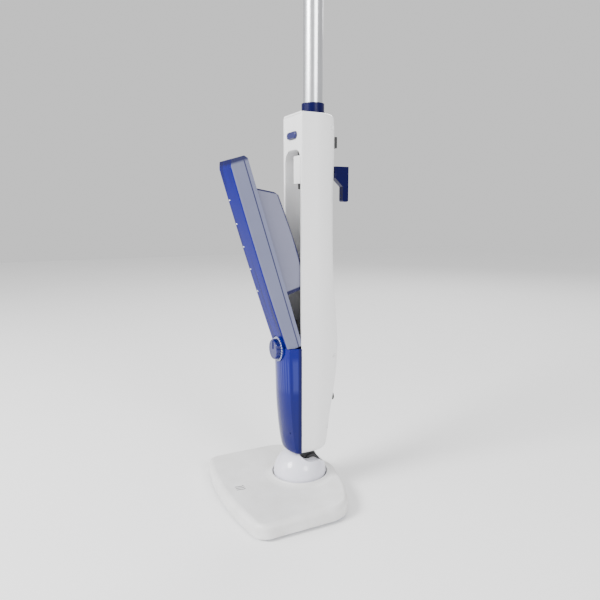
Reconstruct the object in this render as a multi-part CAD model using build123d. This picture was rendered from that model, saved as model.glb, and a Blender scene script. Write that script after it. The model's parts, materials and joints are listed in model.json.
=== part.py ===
from build123d import *
import os

# Upright steam mop: flat head with a microfibre pad, two-axis swivel, body with a tip-out water
# tank and a two-piece tube handle.  Millimetres.  The origin is on the floor under the swivel,
# +Z is up and -Y is the front, the side the tank tips out to.

# ---- mop head
PAD_THICKNESS = 4.0
HEAD_HALF_WIDTH = 106.0
HEAD_FRONT_Y = -127.0
HEAD_FRONT_SIDE_Y = -114.5
HEAD_FRONT_CORNER_R = 18.0
HEAD_REAR_SIDE_Y = 3.0
HEAD_REAR_CORNER_R = 40.0
HEAD_REAR_Y = 39.5
HEAD_BOTTOM_Z = PAD_THICKNESS
HEAD_TOP_Z = 22.0
HEAD_EDGE_R = 7.0
HEAD_WALL = 2.5
BASE_THICKNESS = 2.6
BASE_TOP_Z = HEAD_BOTTOM_Z + BASE_THICKNESS
PAD_INSET = 3.0
STEAM_HOLE_R = 1.3
STEAM_ROW_Y = (-79.0, -71.0)
HEAD_SCREW_XY = ((85, -95), (-85, -95), (85, -38), (-85, -38), (48, 12), (-48, 12))
SCREW_SHANK_R = 1.25
SCREW_HEAD_R = 2.8

# ---- swivel: the dome rolls about Y on the head, the neck leans about X in the dome
DOME_Y = -12.0
DOME_Z = 24.0
DOME_R = 37.0
DOME_WALL = 2.5
DOME_GAP = 0.6
DOME_RIM_Z = 24.2
PIT_FLOOR_Z = 8.6
ROLL_PIN_R = 4.0
LEAN_Y = 0.0
LEAN_Z = 40.0
LEAN_PIN_R = 4.0
BARREL_R = 12.5
BARREL_HALF_WIDTH = 14.0
RIB_INNER_X = 15.0
RIB_OUTER_X = 18.5
RUNNING = 0.05

# ---- main body
WALL = 2.2
BODY_HALF_WIDTH = 28.0
BODY_FRONT_Y = -22.0
BODY_BOTTOM_Z = 60.5
BODY_TOP_Z = 511.0
BODY_EDGE_R = 9.0
# depth of the back of the body over its height: (height, distance behind the tube line)
BODY_BACK = (
    (60.5, 24.5), (78, 28), (104, 32), (140, 38.5), (172, 43), (204, 44.8),
    (245, 42), (290, 37.8), (345, 35), (430, 35), (511, 34),
)
COVER_TOP_Z = 209.5
# front of the lower cover over its height
COVER_FRONT = ((60.5, 34), (72, 37), (90, 39.6), (118, 42.2), (148, 43.6), (184, 44.6), (209.5, 45))
BAY_HALF_WIDTH = 23.2
BAY_BACK_Y = 14.0
BAY_FLOOR_Z = 215.0
BAY_TOP_Z = 466.0
PANEL_THICKNESS = 2.5
NECK_OPENING = (-20.0, 3.5)
COVER_SCREW_XZ = ((19, 92), (-19, 92), (19, 193), (-19, 193))
PANEL_SCREW_XZ = ((20, 494), (-20, 494))

# ---- tip-out tank
HINGE_Y = -33.0
HINGE_Z = 222.0
HINGE_PIN_R = 2.0
TANK_TILT = 17.0
TANK_TOP_Z = 463.0
TANK_WALL = 2.2
BOX_HALF_WIDTH = 21.5
BOX_WALL = 1.8
BOX_BOTTOM_Z = 281.0
VALVE_Y = 5.0
VALVE_Z = 286.0
CAP_Z = 372.0
CAP_R = 11.0

# ---- controls
DIAL_Z = 206.0
DIAL_R = 13.5
DIAL_RING_R = 16.5
TAB_R = 17.0
TAB_FRONT_Y = -45.2
BUTTON_Z = 484.0
BUTTON_LENGTH = 26.0
BUTTON_HEIGHT = 9.0
BUTTON_TRAVEL = 3.5
PAWL_Y = (-12.0, -8.5)
SWITCH_Z = 477.5
GLAND_Z = 128.0
HOOK_Z = 440.0

# ---- water and steam line
PUMP_Y = -24.0
PUMP_R = 10.0
BOILER_Y = (-3.0, 20.0)
BOILER_Z = (110.0, 180.0)
HEATER_LEGS = ((-8, 12), (8, 12))
BOILER_INLET = (10, 4)
BOILER_OUTLET = (-8, 0)

# ---- handle
TUBE_Y = 7.0
TUBE_R = 12.5
TUBE_WALL = 1.2
COLLAR_R = 14.75
COLLAR_TOP_Z = 525.0
TUBE_JOINT_Z = 800.0
GRIP_BOTTOM_Z = 1020.0
GRIP_TOP_Z = 1170.0
HANDLE_TOP_Z = 1186.0
GRIP_SCREW_Z = (1034.0, 1140.0)

PARTS = {}
HINGE_AXIS = Axis((0, HINGE_Y, HINGE_Z), (1, 0, 0))
DOME_CENTRE = (0, DOME_Y, DOME_Z)


# ------------------------------------------------------------------ shape helpers
def block(x0, x1, y0, y1, z0, z1):
    """Box given by its six faces."""
    return Pos((x0 + x1) / 2, (y0 + y1) / 2, (z0 + z1) / 2) * Box(x1 - x0, y1 - y0, z1 - z0)


def rod(start, direction, radius, length):
    """Cylinder from a start point along a direction."""
    return extrude(Plane(origin=start, z_dir=direction) * Circle(radius), amount=length)


def ring(start, direction, outer, inner, length):
    """Tube section from a start point along a direction."""
    return extrude(Plane(origin=start, z_dir=direction) * (Circle(outer) - Circle(inner)), amount=length)


def side_prism(face, x0, x1):
    """Extrude a side outline, drawn as (Y, Z), from x0 to x1."""
    return extrude(Plane.YZ.offset(x0) * face, amount=x1 - x0)


def front_prism(face, y0, y1):
    """Extrude a front outline, drawn as (X, Z), from y1 forward to y0."""
    return extrude(Plane.XZ.offset(-y1) * face, amount=y1 - y0)


def polygon(*points):
    return make_face(Polyline(*points, close=True))


def hose(points, outer, inner):
    """Flexible or bent tube through the given points."""
    path = Spline(*points)
    section = Plane(origin=path @ 0, z_dir=path % 0) * (Circle(outer) - Circle(inner))
    return sweep(section, path)


def coil(centre, radius, wire_r, height, turns):
    """Round-wire compression spring standing along Z."""
    path = Helix(pitch=height / turns, height=height, radius=radius)
    wire = Plane(origin=path @ 0, z_dir=path % 0) * Circle(wire_r)
    return Pos(*centre) * sweep(wire, path)


def both_sides(shape):
    return shape + mirror(shape, Plane.YZ)


def tipped(shape):
    """Swing a tank piece from its shut place out to the open stop."""
    return shape.rotate(HINGE_AXIS, TANK_TILT)


def clear_of(shape, keep_out):
    """Trim a shut tank piece so that it clears keep_out when shut and when open."""
    return shape - keep_out - keep_out.rotate(HINGE_AXIS, -TANK_TILT)


def parted(shape, regions):
    """One moulding as touching solids, each close to its own convex hull."""
    return Compound([solid for region in regions for solid in (shape & region).solids()])


def save(name, shape):
    PARTS[name] = shape
    export_step(shape, os.path.join("parts", name + ".step"))


# ------------------------------------------------------------------ mop head
def head_outline(inset=0.0):
    """Plan shape of the head: bowed front, straight sides, wide rounded rear."""
    half = HEAD_HALF_WIDTH
    front = ThreePointArc((-half, HEAD_FRONT_SIDE_Y), (0, HEAD_FRONT_Y), (half, HEAD_FRONT_SIDE_Y))
    right = Line((half, HEAD_FRONT_SIDE_Y), (half, HEAD_REAR_SIDE_Y))
    rear = ThreePointArc((half, HEAD_REAR_SIDE_Y), (0, HEAD_REAR_Y), (-half, HEAD_REAR_SIDE_Y))
    left = Line((-half, HEAD_REAR_SIDE_Y), (-half, HEAD_FRONT_SIDE_Y))
    face = make_face(front + right + rear + left)
    face = fillet(face.vertices().sort_by(Axis.Y)[:2], HEAD_FRONT_CORNER_R)
    face = fillet(face.vertices().sort_by(Axis.Y)[-2:], HEAD_REAR_CORNER_R)
    return offset(face, amount=-inset) if inset else face


def head_plate(inset, z0, z1):
    return extrude(Pos(0, 0, z0) * head_outline(inset), amount=z1 - z0)


def journal_posts(radius):
    """Two posts in the dome pit that carry the roll pins, and their spans along Y."""
    spans = ((-44.5, -39.5), (15.5, 20.5))
    posts = Part()
    for y0, y1 in spans:
        posts += block(-radius, radius, y0, y1, BASE_TOP_Z, DOME_Z)
        posts += rod((0, y0, DOME_Z), (0, 1, 0), radius, y1 - y0)
    return posts


def head_shell():
    flare_inner, flare_outer, flare_top = 39.0, 51.0, 25.4
    boss_r, pilot_r, post_r, steam_r = 3.6, 1.3, 6.5, 1.8
    body = head_plate(0, HEAD_BOTTOM_Z, HEAD_TOP_Z)
    body = fillet(body.edges().group_by(Axis.Z)[-1], HEAD_EDGE_R)
    slope = Spline((flare_outer, HEAD_TOP_Z - 0.1), (45, 23.0), (41, flare_top), tangents=((-1, 0), (-1, 1.6)))
    rest = Polyline((41, flare_top), (flare_inner, flare_top), (flare_inner, 20.5),
                    (flare_outer, 20.5), (flare_outer, HEAD_TOP_Z - 0.1))
    flare = revolve(Plane.XZ * make_face(slope + rest), Axis.Z)
    body += Pos(0, DOME_Y, 0) * flare
    ceiling = HEAD_TOP_Z - HEAD_WALL
    cup = Pos(*DOME_CENTRE) * Sphere(DOME_R + DOME_GAP + HEAD_WALL)
    cup &= block(-60, 60, -80, 60, BASE_TOP_Z, ceiling + 1)
    cavity = head_plate(HEAD_WALL, HEAD_BOTTOM_Z, ceiling) - cup
    for x, y in HEAD_SCREW_XY:
        cavity -= rod((x, y, BASE_TOP_Z), (0, 0, 1), boss_r, ceiling - BASE_TOP_Z)
    pit = Pos(*DOME_CENTRE) * Sphere(DOME_R + DOME_GAP)
    pit &= block(-60, 60, -80, 60, PIT_FLOOR_Z, DOME_Z + DOME_R)
    shell = body - cavity - pit + journal_posts(post_r)
    for x, y in HEAD_SCREW_XY:
        shell -= rod((x, y, BASE_TOP_Z), (0, 0, 1), pilot_r, 11)
    shell -= rod((0, -46, DOME_Z), (0, 1, 0), ROLL_PIN_R + RUNNING, 70)
    shell -= rod((0, -42, BASE_TOP_Z), (0, 0, 1), steam_r, DOME_Z - BASE_TOP_Z)
    return shell


def grip_strips():
    """Hook-fabric strips under the base plate that hold the pad."""
    half_length = 82
    strips = Part()
    for y0, y1 in ((-107, -95), (-24, -12)):
        strips += block(-half_length, half_length, y0, y1, HEAD_BOTTOM_Z, HEAD_BOTTOM_Z + 0.8)
    return strips


def head_screws():
    screws = Part()
    head_h = 1.4
    for x, y in HEAD_SCREW_XY:
        base = HEAD_BOTTOM_Z + 0.4
        screws += rod((x, y, base), (0, 0, 1), SCREW_HEAD_R, head_h)
        screws += rod((x, y, base), (0, 0, 1), SCREW_SHANK_R, 11.5)
        screws -= block(x - 2, x + 2, y - 0.4, y + 0.4, base, base + 0.6)
    return screws


def head_base_plate():
    groove_half, groove_floor = 3.0, 5.2
    plate = head_plate(HEAD_WALL + 0.3, HEAD_BOTTOM_Z, BASE_TOP_Z) - grip_strips()
    for y in STEAM_ROW_Y:
        for index in range(-4, 5):
            plate -= rod((index * 16, y, HEAD_BOTTOM_Z), (0, 0, 1), STEAM_HOLE_R, BASE_THICKNESS)
    plate -= block(-groove_half, groove_half, -80, -41, groove_floor, BASE_TOP_Z)
    for x, y in HEAD_SCREW_XY:
        plate -= rod((x, y, HEAD_BOTTOM_Z), (0, 0, 1), SCREW_HEAD_R + 0.1, 1.8)
        plate -= rod((x, y, HEAD_BOTTOM_Z), (0, 0, 1), SCREW_SHANK_R + 0.1, BASE_THICKNESS)
    return plate


def steam_channel():
    """Trough over the steam holes that spreads the steam across the head."""
    half_x, y0, y1, top, skin = 72, -84, -66, 12, 1.6
    channel = block(-half_x, half_x, y0, y1, BASE_TOP_Z, top)
    channel -= block(-half_x + skin, half_x - skin, y0 + skin, y1 - skin, BASE_TOP_Z, top - skin)
    for x in (-36, 36):
        channel += block(x - 0.8, x + 0.8, y0, y1, BASE_TOP_Z + 2.5, top)
    return channel


def mop_pad():
    pad = head_plate(PAD_INSET, 0, PAD_THICKNESS)
    return fillet(pad.edges().group_by(Axis.Z)[-1], 1.2)


def build_head():
    save("mop_pad", mop_pad())
    save("pad_grip_strips", grip_strips())
    save("head_base_plate", head_base_plate())
    save("steam_channel", steam_channel())
    save("head_shell", head_shell())
    save("head_screws", head_screws())


# ------------------------------------------------------------------ swivel dome
def scoop(back, drop):
    """Space cut from the rear of the dome for the neck, moved back and down by a wall."""
    edge = Spline((-22.5, 66), (-19.6, 55), (-13, 49.5), (3.4, 46.5), (16, 40), (34, 29))
    rest = Polyline((34, 29), (60, 29), (60, 90), (-22.5, 90), (-22.5, 66))
    return Pos(0, back, -drop) * side_prism(make_face(edge + rest), -50, 50)


def swivel_dome():
    boss_r = 7.0
    over_rim = block(-60, 60, -80, 60, DOME_RIM_Z, DOME_Z + DOME_R + 1)
    outer = (Pos(*DOME_CENTRE) * Sphere(DOME_R)) & over_rim
    inner = Pos(*DOME_CENTRE) * Sphere(DOME_R - DOME_WALL)
    outer_cut = scoop(0, 0)
    shell = outer - outer_cut - (inner - scoop(-2.0, 2.4))
    slot = polygon((-14.4, 20), (-14.4, 43), (-23, 61), (-23, 80), (17.5, 80), (17.5, 20))
    shell -= side_prism(slot, -RIB_INNER_X, RIB_INNER_X)
    ribs = both_sides(block(RIB_INNER_X, RIB_OUTER_X, -60, 40, DOME_RIM_Z, 70))
    shell += (ribs & (Pos(*DOME_CENTRE) * Sphere(DOME_R - DOME_WALL / 2))) - outer_cut
    bosses = rod((0, -49.0, DOME_Z), (0, 1, 0), boss_r, 4.0) + rod((0, 21.0, DOME_Z), (0, 1, 0), boss_r, 4.0)
    shell += bosses & (Pos(*DOME_CENTRE) * Sphere(DOME_R))
    shell -= rod((0, -47.6, DOME_Z), (0, 1, 0), ROLL_PIN_R + 0.02, 71.0)
    shell -= rod((-20, LEAN_Y, LEAN_Z), (1, 0, 0), LEAN_PIN_R + 0.02, 40)
    return shell


def roll_pins():
    steam_bore_r = 1.8
    front = rod((0, -47.4, DOME_Z), (0, 1, 0), ROLL_PIN_R, 7.8)
    front -= rod((0, -45.0, DOME_Z), (0, 1, 0), steam_bore_r, 7.0)
    rear = rod((0, 15.7, DOME_Z), (0, 1, 0), ROLL_PIN_R, 7.5)
    return front + rear


def lean_washers():
    return both_sides(ring((BARREL_HALF_WIDTH + 0.05, LEAN_Y, LEAN_Z), (1, 0, 0), 8.5, LEAN_PIN_R + 0.05, 0.9))


def build_swivel():
    save("swivel_dome", swivel_dome())
    save("roll_pins", roll_pins())
    save("lean_pin", rod((-18.4, LEAN_Y, LEAN_Z), (1, 0, 0), LEAN_PIN_R, 36.8))
    save("lean_washers", lean_washers())


# ------------------------------------------------------------------ body shells
def body_section(z, half_w, front_y, back_y):
    """Flat front and sides with a half-oval back."""
    sides = Polyline((half_w, 0), (half_w, front_y), (-half_w, front_y), (-half_w, 0))
    back = EllipticalCenterArc((0, 0), half_w, back_y, 0, arc_size=180)
    return Pos(0, 0, z) * make_face(sides + back)


def body_form(inset, front_y):
    """Solid body shape, drawn in by inset all round except at the front."""
    sections = []
    for z, depth in BODY_BACK:
        level = min(max(z, BODY_BOTTOM_Z + inset), BODY_TOP_Z - inset)
        sections.append(body_section(level, BODY_HALF_WIDTH - inset, front_y, depth - inset))
    form = loft(sections)
    low = form.edges().group_by(Axis.Z)[0].filter_by(lambda edge: edge.center().Y > front_y + 1)
    form = fillet(low, BODY_EDGE_R - inset)
    high = form.edges().group_by(Axis.Z)[-1].filter_by(lambda edge: edge.center().Y > front_y + 1)
    return fillet(high, 4.5 - inset)


def dome_clearance():
    return Pos(*DOME_CENTRE) * Sphere(DOME_R + 0.9)


def neck_opening(z0, z1):
    return block(-13.2, 13.2, NECK_OPENING[0], NECK_OPENING[1], z0, z1)


def rear_housing():
    boss_r, bore_r, well_r, seat_y = 4.0, 1.6, 3.0, -10.0
    outer = body_form(0, BODY_FRONT_Y)
    shell = outer - body_form(WALL, BODY_FRONT_Y - 8)
    bosses = Part()
    for x, z in COVER_SCREW_XZ + PANEL_SCREW_XZ:
        bosses += rod((x, -19, z), (0, 1, 0), boss_r, 60)
    hook_boss = rod((0, 20, HOOK_Z), (0, 1, 0), 8, 40)
    shell += (bosses + hook_boss) & outer
    for x, z in COVER_SCREW_XZ + PANEL_SCREW_XZ:
        shell -= rod((x, -20, z), (0, 1, 0), bore_r, 20)
        shell -= rod((x, seat_y, z), (0, 1, 0), well_r, 60)
    shell -= rod((0, 18, HOOK_Z), (0, 1, 0), 3.06, 40)
    shell -= neck_opening(BODY_BOTTOM_Z - 2, BODY_BOTTOM_Z + 8)
    shell -= rod((0, TUBE_Y, BODY_TOP_Z - 8), (0, 0, 1), COLLAR_R + 0.1, 20)
    shell -= block(-7.6, 7.6, 25, 60, SWITCH_Z - 6.1, SWITCH_Z + 6.1)
    shell -= rod((0, 20, GLAND_Z), (0, 1, 0), 6.1, 40)
    for row in range(4):
        vent_z = 236 + row * 6
        shell -= block(-9, 9, 30, 60, vent_z, vent_z + 2)
    side, low, high = 40, BAY_FLOOR_Z - 1, BAY_TOP_Z + 1
    return parted(
        shell - dome_clearance(),
        (
            block(-side, side, -side, 60, BODY_BOTTOM_Z - 1, low),
            block(-side, -20, -side, 0, low, high),
            block(20, side, -side, 0, low, high),
            block(-side, -20, 0, 60, low, high),
            block(20, side, 0, 60, low, high),
            block(-20, 20, 0, 60, low, high),
            block(-side, side, -side, 60, high, BODY_TOP_Z + 1),
        ),
    )


def bay_opening(y0, y1):
    """Tank bay: arched at the top, rounded at the back corners."""
    half, corner = BAY_HALF_WIDTH, 15.0
    face = polygon((-half, BAY_FLOOR_Z), (half, BAY_FLOOR_Z), (half, BAY_TOP_Z), (-half, BAY_TOP_Z))
    face = fillet(face.vertices().group_by(Axis.Y)[-1], corner)
    opening = front_prism(face, y0, y1)
    plan = polygon((-half, y0), (half, y0), (half, y1), (-half, y1))
    plan = fillet(plan.vertices().group_by(Axis.Y)[-1], 3)
    return opening & extrude(Pos(0, 0, BAY_FLOOR_Z) * plan, amount=BAY_TOP_Z - BAY_FLOOR_Z)


def valve_axis():
    """Valve centre on the shut tank, and the direction in which the tank pushes it home."""
    reach = Vector(0, VALVE_Y - HINGE_Y, VALVE_Z - HINGE_Z)
    push = Vector(0, reach.Z, -reach.Y).normalized()
    return Vector(0, VALVE_Y, VALVE_Z), push


def front_frame():
    """Front panel and tank bay moulded in one piece."""
    top_z = 508.4
    shape = body_form(WALL + 0.2, BODY_FRONT_Y)
    shape &= block(-30, 30, BODY_FRONT_Y, 16, BAY_FLOOR_Z - 1.6, top_z)
    shape -= bay_opening(BODY_FRONT_Y - 1, BAY_BACK_Y)
    behind_panel = block(-22.8, 22.8, BODY_FRONT_Y + PANEL_THICKNESS, 17, BAY_TOP_Z + 2, top_z)
    shape -= behind_panel
    pill = Pos(0, BUTTON_Z) * SlotOverall(BUTTON_LENGTH + 0.8, BUTTON_HEIGHT + 0.8)
    shape -= front_prism(pill, BODY_FRONT_Y - 1, BODY_FRONT_Y + 4)
    for x, z in PANEL_SCREW_XZ:
        shape -= rod((x, -19.6, z), (0, 1, 0), 4.3, 40)
        shape -= rod((x, -21.0, z), (0, 1, 0), 1.3, 3)
    shape -= rod((0, TUBE_Y, BAY_TOP_Z - 2), (0, 0, 1), COLLAR_R + 0.2, 50)
    shape -= block(-6.4, 6.4, PAWL_Y[0] - 0.3, PAWL_Y[1] + 0.3, BAY_TOP_Z - 2, BAY_TOP_Z + 4)
    centre, push = valve_axis()
    shape -= rod(centre, push, 11.4, 20)
    shape -= rod((0, 8.5, BAY_FLOOR_Z - 3), (0, 0, 1), 4.4, 6)
    side, corner_y, low, high = 40, BAY_BACK_Y - 3.1, BAY_FLOOR_Z + 0.5, BAY_TOP_Z - 15.5
    return parted(
        shape,
        (
            block(-side, side, -side, side, BAY_FLOOR_Z - 5, low),
            block(-side, -20, -side, corner_y, low, high),
            block(20, side, -side, corner_y, low, high),
            block(-side, -20, corner_y, side, low, high),
            block(20, side, corner_y, side, low, high),
            block(-20, 20, corner_y, side, low, high),
            block(-side, side, -side, side, high, BODY_TOP_Z),
        ),
    )


def cover_section(z, half_w, back_y, front_depth):
    """Bowed front between two drawn-in sides."""
    corner = (half_w - 3.5, -front_depth + 6.5)
    sides = Polyline((-half_w + 3.5, corner[1]), (-half_w, back_y), (half_w, back_y), corner)
    bow = ThreePointArc(corner, (0, -front_depth), (-corner[0], corner[1]))
    return Pos(0, 0, z) * make_face(sides + bow)


def cover_form(inset, back_y):
    sections = []
    for z, depth in COVER_FRONT:
        level = max(z, BODY_BOTTOM_Z + inset)
        sections.append(cover_section(level, BODY_HALF_WIDTH - inset, back_y, depth - inset))
    form = loft(sections)
    low = form.edges().group_by(Axis.Z)[0].filter_by(lambda edge: edge.center().Y < back_y - 1)
    return fillet(low, 5.0 - inset)


def lower_cover():
    boss_r, pilot_r = 4.0, 1.3
    back = BODY_FRONT_Y - 0.2
    outer = cover_form(0, back)
    shell = outer - cover_form(WALL, back + 8)
    shell += rod((0, TAB_FRONT_Y, DIAL_Z), (0, 1, 0), TAB_R, 2.4)
    bosses = Part()
    for x, z in COVER_SCREW_XZ:
        bosses += rod((x, -44, z), (0, 1, 0), boss_r, 24.8)
    shell += bosses & outer
    for x, z in COVER_SCREW_XZ:
        shell -= rod((x, -36, z), (0, 1, 0), pilot_r, 30)
    return shell - rod((0, -50, DIAL_Z), (0, 1, 0), 4.0, 12)


def shell_screws(places, seat_y, length):
    screws = Part()
    for x, z in places:
        screws += rod((x, seat_y, z), (0, 1, 0), 2.8, 2.2)
        screws += rod((x, seat_y - length, z), (0, 1, 0), 1.25, length)
        screws -= block(x - 2, x + 2, seat_y + 1.4, seat_y + 2.3, z - 0.4, z + 0.4)
    return screws


def neck_knuckle():
    column = polygon((-12.3, 42), (-19, 57), (-19, 60), (-16, 63), (-16, 84), (0, 84), (0, 63),
                     (2.5, 60), (11.8, 44), (0, LEAN_Z))
    neck = rod((-BARREL_HALF_WIDTH, LEAN_Y, LEAN_Z), (1, 0, 0), BARREL_R, 2 * BARREL_HALF_WIDTH)
    neck += side_prism(column, -11.5, 11.5)
    for z in (49, 52, 55):
        neck += block(-12.1, 12.1, -14, 4, z, z + 1.2)
    neck += both_sides(block(11.4, 20, -16, 0, 68, 72))
    for x in (-16, 16):
        neck -= rod((x, -8, 67), (0, 0, 1), 1.7, 6)
    neck -= rod((0, -8, 85), (0, 4, -40), 3.0, 40)
    return neck - rod((-20, LEAN_Y, LEAN_Z), (1, 0, 0), LEAN_PIN_R + RUNNING, 40)


def build_body():
    save("neck_knuckle", neck_knuckle())
    save("rear_housing", rear_housing())
    save("front_frame", front_frame())
    save("lower_cover", lower_cover())
    save("cover_screws", shell_screws(COVER_SCREW_XZ, -10, 22))
    save("panel_screws", shell_screws(PANEL_SCREW_XZ, -10, 10.8))


# ------------------------------------------------------------------ tip-out tank
def tank_side(inset):
    """Side outline of the tank front, drawn in by inset."""
    front = HINGE_Y - 12.0 + inset
    top = TANK_TOP_Z - inset
    back = -23.2
    bottom = HINGE_Z - 12.0 + inset
    bow = ThreePointArc((front, bottom), (front - 2.2, 345), (front - 1.5, 453))
    cap = Polyline((front - 1.5, 453), (front + 2.4, top), (back - 3.5, top), (back, top - 4.0))
    rest = Polyline((back, top - 4.0), (back, bottom), (front, bottom))
    return make_face(bow + cap + rest)


def tank_taper(inset):
    """Plan outline of the tank front: sides flare towards the back."""
    narrow, wide = 22.5 - inset, 25.4 - inset
    return polygon((-wide, -22), (wide, -22), (narrow, -49), (-narrow, -49))


def dial_notch():
    return rod((0, -53, DIAL_Z), (0, 1, 0), TAB_R + 0.8, 12.6)


def tank_front_outer():
    form = side_prism(tank_side(0), -26, 26)
    form &= extrude(Pos(0, 0, 200) * tank_taper(0), amount=280)
    edges = form.edges().filter_by(lambda edge: edge.length > 60).group_by(Axis.Y)[0]
    return fillet(edges, 2.6)


def level_marks(form):
    marks = Part()
    for index in range(5):
        z = 290 + index * 31
        marks += block(-19.0, -14.5, -50, -42, z, z + 1.4)
    shell = form & marks
    core = Pos(0, 0.5, 0) * form
    return shell - core


def tank_front(form, marks):
    inner = side_prism(tank_side(TANK_WALL), -26, 26) + block(-26, 26, -26, -20, HINGE_Z - 8.4, TANK_TOP_Z - 6)
    inner &= extrude(Pos(0, 0, 200) * tank_taper(TANK_WALL), amount=280)
    shell = form - inner - marks
    bosses = both_sides(rod((17.6, HINGE_Y, HINGE_Z), (1, 0, 0), 5.5, 6.0))
    shell += bosses
    shell -= rod((-22.2, HINGE_Y, HINGE_Z), (1, 0, 0), HINGE_PIN_R + RUNNING, 44.4)
    seam = block(-40, 40, -60, -10, 180, COVER_TOP_Z + 0.5)
    body_edge = block(-40, 40, BODY_FRONT_Y - 0.2, 60, 200, 262)
    shell = clear_of(shell, seam)
    shell = clear_of(shell, body_edge)
    return clear_of(shell, dial_notch())


def box_side(inset):
    """Side outline of the water box: sloping top, valve corner cut square to the closing push."""
    face = polygon(
        (-25.0, BOX_BOTTOM_Z), (1.9, BOX_BOTTOM_Z), (11.8, 297.7), (3.5, 406.0), (-0.4, 410.7), (-28.4, 425.0),
        (-28.4, 440), (-42.4, 440), (-42.4, 252), (-25.0, 252),
    )
    return offset(face, amount=-inset) if inset else face


def cap_axis():
    """Centre of the filler cap on the rear wall of the shut box, and the outward direction."""
    slope = (11.8 - 3.5) / (406.0 - 297.7)
    return Vector(0, 11.8 - (CAP_Z - 297.7) * slope, CAP_Z), Vector(0, 1, slope).normalized()


def catch_pocket():
    return block(-9, 9, -16.5, -4.5, 406.5, 430)


def tank_box():
    front_half = 19.6
    corner = extrude(Pos(0, 0, 240) * polygon(
        (-front_half, -43), (front_half, -43), (front_half, -24.4), (BOX_HALF_WIDTH, -24.4),
        (BOX_HALF_WIDTH, 6), (BOX_HALF_WIDTH - 6, 13), (6 - BOX_HALF_WIDTH, 13), (-BOX_HALF_WIDTH, 6),
        (-BOX_HALF_WIDTH, -24.4), (-front_half, -24.4)), amount=210)
    outer = side_prism(box_side(0), -BOX_HALF_WIDTH, BOX_HALF_WIDTH) & corner
    inner = side_prism(box_side(BOX_WALL), -BOX_HALF_WIDTH + BOX_WALL, BOX_HALF_WIDTH - BOX_WALL)
    inner &= extrude(Pos(0, 0, 240) * polygon(
        (-front_half + BOX_WALL, -43), (front_half - BOX_WALL, -43), (front_half - BOX_WALL, -24.4 + BOX_WALL),
        (BOX_HALF_WIDTH - BOX_WALL, -24.4 + BOX_WALL), (BOX_HALF_WIDTH - BOX_WALL, 5), (14, 12), (-14, 12),
        (BOX_WALL - BOX_HALF_WIDTH, 5), (BOX_WALL - BOX_HALF_WIDTH, -24.4 + BOX_WALL),
        (BOX_WALL - front_half, -24.4 + BOX_WALL)), amount=210)
    pocket_wall = block(-10.8, 10.8, -18.3, -2.7, 404.7, 430) & outer
    box = outer - (inner - pocket_wall) - catch_pocket()
    centre, push = valve_axis()
    box -= rod(centre - push * 8, push, 5.85, 12)
    spot, out = cap_axis()
    box += rod(spot - out * 5.6, out, CAP_R - 0.4, 4.2)
    box -= rod(spot - out * 10, out, CAP_R - 2.5 + 0.08, 14)
    return box


def tank_catch():
    """Keeper plate let into the top of the box for the latch pawl."""
    keeper = catch_pocket() & side_prism(box_side(0), -9, 9)
    return keeper - block(-6.6, 6.6, PAWL_Y[0] - 1.6, PAWL_Y[1] + 1.6, 411.0, 430)


def tank_valve():
    centre, push = valve_axis()
    body = rod(centre - push * 5, push, 5.8, 5)
    body += rod(centre, push, 7.6, 1.5)
    body += rod(centre, push, 6.0, 7.0)
    body -= ring(centre + push * 3.2, push, 7, 5.2, 2.0)
    return body - rod(centre - push * 6, push, 3.0, 14)


def tank_valve_ring():
    centre, push = valve_axis()
    return ring(centre + push * 3.3, push, 6.7, 5.25, 1.8)


def filler_cap():
    spot, out = cap_axis()
    cap = rod(spot + out * 0.1, out, CAP_R, 1.2)
    cap += rod(spot - out * 6, out, CAP_R - 2.5, 6.2)
    cap -= rod(spot - out * 7, out, CAP_R - 4.5, 5.5)
    grip = Plane(origin=spot + out * 1.3, z_dir=out) * SlotOverall(17, 4)
    return cap + extrude(grip, amount=1.4)


def build_tank():
    form = tank_front_outer()
    marks = level_marks(form)
    save("tank_front", tipped(tank_front(form, marks)))
    save("level_marks", tipped(marks))
    save("tank_box", tipped(tank_box()))
    save("tank_catch", tipped(tank_catch()))
    save("tank_valve", tipped(tank_valve()))
    save("tank_valve_ring", tipped(tank_valve_ring()))
    save("filler_cap", tipped(filler_cap()))


# ------------------------------------------------------------------ tank hinge and dock
def hinge_bracket():
    floor_z, top_z, ear_r = BAY_FLOOR_Z, BAY_FLOOR_Z + 4, 5.5
    bracket = block(-22.6, 22.6, -18.5, 4, floor_z, top_z)
    for x in (-16.5, 12.5):
        bracket += block(x, x + 4, HINGE_Y, -14, 218.3, 226)
        bracket += block(x, x + 4, -18.5, -10, floor_z, 240)
        bracket += rod((x, HINGE_Y, HINGE_Z), (1, 0, 0), ear_r, 4)
    bracket -= rod((-20, HINGE_Y, HINGE_Z), (1, 0, 0), HINGE_PIN_R + 0.02, 40)
    return bracket - rod((0, 5, floor_z - 1), (0, 0, 1), 9, 8)


def valve_dock():
    """Funnel cup that the tank valve drops into, on a pedestal with the hose tail below."""
    centre, push = valve_axis()
    cup = rod(centre + push * 2.4, push, 11.0, 10.6)
    cup += block(-9, 9, 4.5, 13.5, BAY_FLOOR_Z + 4.2, 276)
    cup += rod((0, 8.5, BAY_FLOOR_Z + 0.2), (0, 0, 1), 4.2, 12)
    cup -= rod(centre - push * 20, push, 8.6, 31)
    cup += rod(centre + push * 8.0, push, 2.2, 3.6)
    cup -= rod(centre + push * 7.9, push, 1.2, 3.6)
    cup += rod((0, 8.5, 206), (0, 0, 1), 2.6, 12)
    return cup - rod((0, 8.5, 205), (0, 0, 1), 1.6, 62)


def dock_seal():
    centre, push = valve_axis()
    return ring(centre + push * 9.0, push, 8.5, 3.2, 1.9)


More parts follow.
